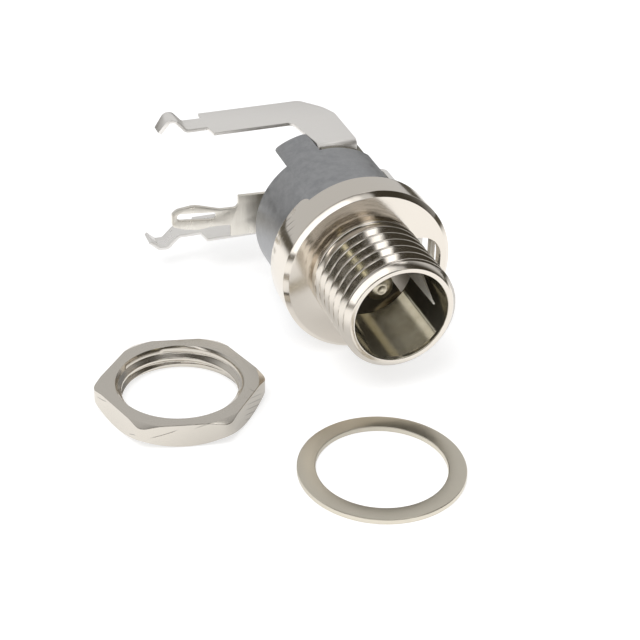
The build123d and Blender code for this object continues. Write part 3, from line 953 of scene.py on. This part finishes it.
def makeFloor():
    half = table["half"]
    z = table["top"] * mm
    corners = [(-half, -half, z), (half, -half, z), (half, half, z), (-half, half, z)]
    floor = newPiece("table_top", corners, [(0, 1, 2, 3)])
    material, b, sockets, place = newMaterial("paleTable")
    sockets["Specular IOR Level"].default_value = 0.0
    paper = b.group(fineGrain, **{
        "Coordinates": place, "Cloud Scale": 30.0, "Grain Scale": 900.0, "Low": 0.8, "High": 0.9,
    })
    b.give(sockets["Roughness"], paper.outputs["Value"])
    # the camera sees the table as white; the metal sees it greyer close by, a painted shadow of the socket in
    # its reflections, and dim far off
    path = b.add("ShaderNodeLightPath")
    away = b.vector("LENGTH", b.vector("SUBTRACT", place, tuple(v * mm for v in table["middle"])))
    inner, outer = (v * mm for v in table["paintedShadeNearby"])
    paintedShadeNearby = b.remap(away, inner, outer, *table["paintedShadeShare"], smooth=True)
    inner, outer = (v * mm for v in table["distant"])
    distant = b.remap(away, inner, outer, 0.0, 1.0, smooth=True)
    shiny = b.math("MAXIMUM", path.outputs["Is Glossy Ray"], path.outputs["Is Transmission Ray"])
    dimmed = b.math("MULTIPLY", shiny, distant)
    mirrored = b.math("SUBTRACT", b.math("MULTIPLY", shiny, paintedShadeNearby), dimmed)
    seen = b.math("MAXIMUM", path.outputs["Is Camera Ray"], mirrored)
    b.give(sockets["Base Color"], b.mix(dimmed, table["nearTone"] + (1,), table["farTone"] + (1,)))
    sockets["Emission Color"].default_value = (1, 1, 1, 1)
    b.give(sockets["Emission Strength"], b.math("MULTIPLY", seen, table["glow"]))
    floor.data.materials.append(material)


view = {
    "along": (0.298587, 0.791396, -0.533422), "right": (0.940633, -0.338559, 0.024233),
    "up": (0.161417, 0.50899, 0.845502), "place": (-0.037542, -0.090385, 0.057728), "lens": 93.823,
}
surroundings = {
    "level": 0.74,
    "front": (0.045, 0.039, 0.028), "back": (0.6, 0.6, 0.6), "turnsAt": (-0.3, 0.35),
    "lamps": [
        {"towards": (0.25, -0.12, 0.96), "wide": 13.0, "soft": 6.0, "colour": (1.7, 1.7, 1.7)},
        {"towards": (0.29, -0.755, 0.59), "wide": 9.0, "soft": 4.0, "colour": (1.8, 1.8, 1.8)},
        {"towards": (-0.325, -0.825, 0.46), "wide": 2.6, "soft": 1.2, "colour": (1.8, 1.7, 1.15)},
        {"towards": (-0.4, -0.9, 0.14), "wide": 8.0, "soft": 4.0, "colour": (1.7, 1.66, 1.56)},
        {"towards": (0.38, -0.83, 0.4), "wide": 7.0, "soft": 5.0, "colour": (0.6, 0.53, 0.36)},
    ],
}


def edgeLamps():
    # a bow of lamps that lights the flange's front edge along its upper left, one for each few degrees
    lamps = []
    for angle in range(92, 166, 4):
        strength = 1.6
        if angle < 108 or angle > 158:
            strength = 1.1
        if angle < 100:
            strength = 0.7
        turn = math.radians(angle)
        edge = Vector((math.cos(turn), -1, math.sin(turn))).normalized()
        lamps.append({
            "towards": tuple(Vector(view["along"]).reflect(edge)), "wide": 8.5, "soft": 4.0,
            "colour": (strength,) * 3,
        })
    return lamps


def makeWorld():
    world = bpy.data.worlds.new("studio")
    scene.world = world
    world.use_nodes = True
    world.node_tree.nodes.clear()
    b = Bench(world.node_tree)
    direction = b.vector("NORMALIZE", b.add("ShaderNodeTexCoord").outputs["Generated"])
    parts = b.add("ShaderNodeSeparateXYZ")
    b.give(parts.inputs[0], direction)
    front, back = surroundings["turnsAt"]
    facing = b.remap(parts.outputs[1], front, back, 0.0, 1.0, smooth=True)
    room = b.mix(facing, surroundings["front"] + (1,), surroundings["back"] + (1,))
    for lamp in surroundings["lamps"] + edgeLamps():
        aim = Vector(lamp["towards"]).normalized()
        near = b.vector("DOT_PRODUCT", direction, tuple(aim))
        inner = math.cos(math.radians(lamp["wide"] - lamp["soft"]))
        outer = math.cos(math.radians(lamp["wide"]))
        room = b.mix(b.remap(near, outer, inner, 0.0, 1.0, smooth=True), room, lamp["colour"] + (1,))
    # metal sees the room around the table, and everything else an even light
    path = b.add("ShaderNodeLightPath")
    shown = b.math("MAXIMUM", path.outputs["Is Glossy Ray"], path.outputs["Is Transmission Ray"])
    even = (surroundings["level"],) * 3 + (1,)
    light = b.mix(shown, even, room)
    background = b.add("ShaderNodeBackground")
    b.give(background.inputs["Color"], b.mix(path.outputs["Is Camera Ray"], light, (1, 1, 1, 1)))
    output = b.add("ShaderNodeOutputWorld")
    world.node_tree.links.new(background.outputs[0], output.inputs[0])


softLamp = {"place": (-0.12, -0.1, 0.3), "target": (-0.002, -0.003, -0.004), "size": 0.22, "power": 0.55}


def makeLamp(name, settings):
    lamp = bpy.data.lights.new(name, "AREA")
    lamp.shape = "DISK"
    lamp.size = settings["size"]
    lamp.energy = settings["power"]
    holder = bpy.data.objects.new(name, lamp)
    holder.location = settings["place"]
    aim = Vector(settings["target"]) - Vector(settings["place"])
    holder.rotation_euler = aim.to_track_quat("-Z", "Y").to_euler()
    holder.visible_glossy = False
    scene.collection.objects.link(holder)


def makeCamera():
    camera = bpy.data.cameras.new("camera")
    camera.lens = view["lens"]
    camera.sensor_width = 36.0
    camera.clip_start = 0.005
    camera.clip_end = 10
    holder = bpy.data.objects.new("camera", camera)
    pose = Matrix((Vector(view["right"]), Vector(view["up"]), -Vector(view["along"]))).transposed().to_4x4()
    pose.translation = Vector(view["place"])
    holder.matrix_world = pose
    scene.collection.objects.link(holder)
    scene.camera = holder


makeFloor()
makeWorld()
makeLamp("softLamp", softLamp)
makeCamera()
scene.view_settings.view_transform = "Standard"
print("studio ready")
